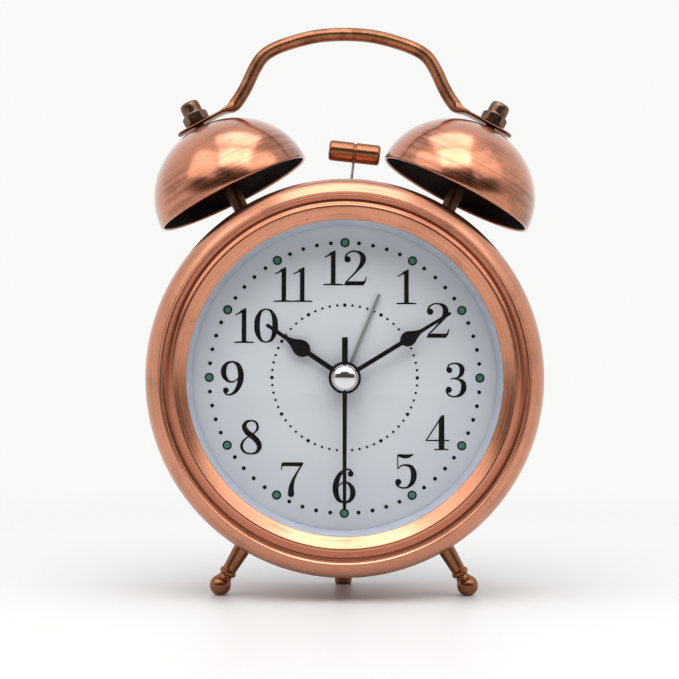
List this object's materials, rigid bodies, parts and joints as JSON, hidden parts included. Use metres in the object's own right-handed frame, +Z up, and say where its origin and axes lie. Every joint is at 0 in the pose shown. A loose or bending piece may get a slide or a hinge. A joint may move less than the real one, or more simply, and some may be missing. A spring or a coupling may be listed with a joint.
{
  "type": "alarm clock",
  "caption": "Twin-bell alarm clock with a round metal case, a printed dial under a lens, a swinging hammer, a carrying handle and ball-ended feet.",
  "frame": {"origin": "on the floor, under the middle of the clock's width and depth", "axes": "+Z up, the dial faces -Y, +X to the right as the dial is read"},
  "size_m": [0.1174, 0.0586, 0.1738],
  "materials": {
    "copper_plate": "brushed antique copper plating, lacquered",
    "dark_copper": "dark antique copper plating, worn paler on its edges",
    "screw_steel": "plain zinc-plated steel",
    "contact_plate": "nickel-plated spring steel",
    "hub_chrome": "polished chrome",
    "lens_glass": "clear flat glass",
    "white_plastic": "moulded white plastic",
    "clear_plastic": "clear moulded plastic",
    "dial_print": "matt cool white enamel with black numerals and green dots",
    "black_plastic": "moulded black plastic with a fine grain",
    "black_enamel": "black enamel",
    "grey_enamel": "silver-grey enamel",
    "circuit_board": "green solder mask",
    "coil_wire": "enamelled copper wire",
    "cell_wrap": "plain printed shrink wrap",
    "pinion_brass": "machined brass",
    "magnet": "bonded magnet"
  },
  "bodies": {
    "case": {"case_drum": "copper_plate", "bezel_ring": "copper_plate", "lens": "lens_glass", "dial_spacer_ring": "white_plastic", "dial_plate": "dial_print", "rear_cover": "black_plastic", "rear_screw_1": "screw_steel", "rear_screw_2": "screw_steel", "rear_screw_3": "screw_steel", "bell_left": "copper_plate", "bell_right": "copper_plate", "bell_post_left": "dark_copper", "bell_post_right": "dark_copper", "acorn_nut_left": "dark_copper", "acorn_nut_right": "dark_copper", "post_nut_left": "screw_steel", "post_nut_right": "screw_steel", "handle": "dark_copper", "foot_left": "dark_copper", "foot_right": "dark_copper", "rear_foot": "dark_copper", "movement_frame": "white_plastic", "movement_housing": "black_plastic", "circuit_board": "circuit_board", "stator": "screw_steel", "stepper_coil": "coil_wire", "dial_light": "clear_plastic", "alarm_motor": "screw_steel", "hammer_bracket": "screw_steel", "hammer_pivot_pin": "screw_steel", "battery_tray": "black_plastic", "battery_upper": "cell_wrap", "battery_lower": "cell_wrap", "battery_spring_upper": "contact_plate", "battery_spring_lower": "contact_plate", "battery_link_plate": "contact_plate", "battery_contact_plate": "contact_plate"},
    "time_knob": {"time_set_knob": "black_plastic"},
    "minute_work": {"minute_hand": "black_enamel", "cannon_pinion": "white_plastic"},
    "motion_work": {"motion_wheel": "white_plastic"},
    "hour_work": {"hour_hand": "black_enamel", "hour_wheel": "white_plastic"},
    "second_work": {"second_hand": "black_enamel", "second_wheel": "white_plastic", "hub_cap": "hub_chrome"},
    "middle_work": {"middle_wheel": "white_plastic"},
    "rotor_work": {"rotor": "magnet"},
    "alarm_knob": {"alarm_set_knob": "black_plastic"},
    "alarm_work": {"alarm_hand": "grey_enamel", "alarm_wheel": "white_plastic"},
    "crank": {"crank_gear": "white_plastic"},
    "motor_shaft": {"motor_pinion": "pinion_brass"},
    "hammer": {"hammer_lever": "screw_steel", "hammer_rod": "dark_copper", "hammer_head": "dark_copper"},
    "switch": {"alarm_switch": "black_plastic"},
    "button": {"light_button": "black_plastic"},
    "door": {"battery_door": "black_plastic"}
  },
  "joints": [
    {"name": "time_knob_turn", "type": "hinge", "parent": "case", "child": "time_knob", "pos_m": [-0.02309, 0.026, 0.07172], "axis": [0, 1, 0], "continuous": true},
    {"name": "minute_hand_turn", "type": "hinge", "parent": "case", "child": "minute_work", "pos_m": [0, -0.0184, 0.06553], "axis": [0, 1, 0], "continuous": true},
    {"name": "motion_wheel_turn", "type": "hinge", "parent": "case", "child": "motion_work", "pos_m": [-0.01128, -0.0085, 0.06964], "axis": [0, 1, 0], "continuous": true},
    {"name": "hour_hand_turn", "type": "hinge", "parent": "case", "child": "hour_work", "pos_m": [0, -0.017, 0.06553], "axis": [0, 1, 0], "continuous": true},
    {"name": "second_hand_turn", "type": "hinge", "parent": "case", "child": "second_work", "pos_m": [0, -0.02, 0.06553], "axis": [0, 1, 0], "continuous": true},
    {"name": "middle_wheel_turn", "type": "hinge", "parent": "case", "child": "middle_work", "pos_m": [0, -0.004, 0.05833], "axis": [0, 1, 0], "continuous": true},
    {"name": "rotor_turn", "type": "hinge", "parent": "case", "child": "rotor_work", "pos_m": [0, -0.006, 0.05308], "axis": [0, 1, 0], "continuous": true},
    {"name": "alarm_knob_turn", "type": "hinge", "parent": "case", "child": "alarm_knob", "pos_m": [0.01154, 0.026, 0.06884], "axis": [0, 1, 0], "continuous": true},
    {"name": "alarm_hand_turn", "type": "hinge", "parent": "case", "child": "alarm_work", "pos_m": [0, -0.0158, 0.06553], "axis": [0, 1, 0], "continuous": true},
    {"name": "crank_turn", "type": "hinge", "parent": "case", "child": "crank", "pos_m": [0, 0.003, 0.09393], "axis": [0, 1, 0], "continuous": true},
    {"name": "motor_turn", "type": "hinge", "parent": "case", "child": "motor_shaft", "pos_m": [-0.01125, 0.003, 0.09393], "axis": [0, 1, 0], "continuous": true},
    {"name": "hammer_swing", "type": "hinge", "parent": "case", "child": "hammer", "pos_m": [0, 0, 0.10793], "axis": [0, 1, 0], "range_deg": [-15.1, 2.5]},
    {"name": "alarm_switch_slide", "type": "slide", "parent": "case", "child": "switch", "axis": [1, 0, 0], "range_m": [0, 0.004]},
    {"name": "light_button_press", "type": "slide", "parent": "case", "child": "button", "axis": [0, -1, 0], "range_m": [0, 0.0018], "stiffness_N_per_m": 300, "springref_m": -0.001},
    {"name": "battery_door_pull", "type": "slide", "parent": "case", "child": "door", "axis": [0, 1, 0], "range_m": [0, 0.025]}
  ],
  "couplings": [
    {"joint": "minute_hand_turn", "follows": "time_knob_turn", "ratio": 1},
    {"joint": "motion_wheel_turn", "follows": "time_knob_turn", "ratio": -0.33333},
    {"joint": "hour_hand_turn", "follows": "time_knob_turn", "ratio": 0.083333},
    {"joint": "middle_wheel_turn", "follows": "second_hand_turn", "ratio": -5},
    {"joint": "rotor_turn", "follows": "second_hand_turn", "ratio": 30},
    {"joint": "alarm_hand_turn", "follows": "alarm_knob_turn", "ratio": -0.33333},
    {"joint": "motor_turn", "follows": "crank_turn", "ratio": -4}
  ]
}
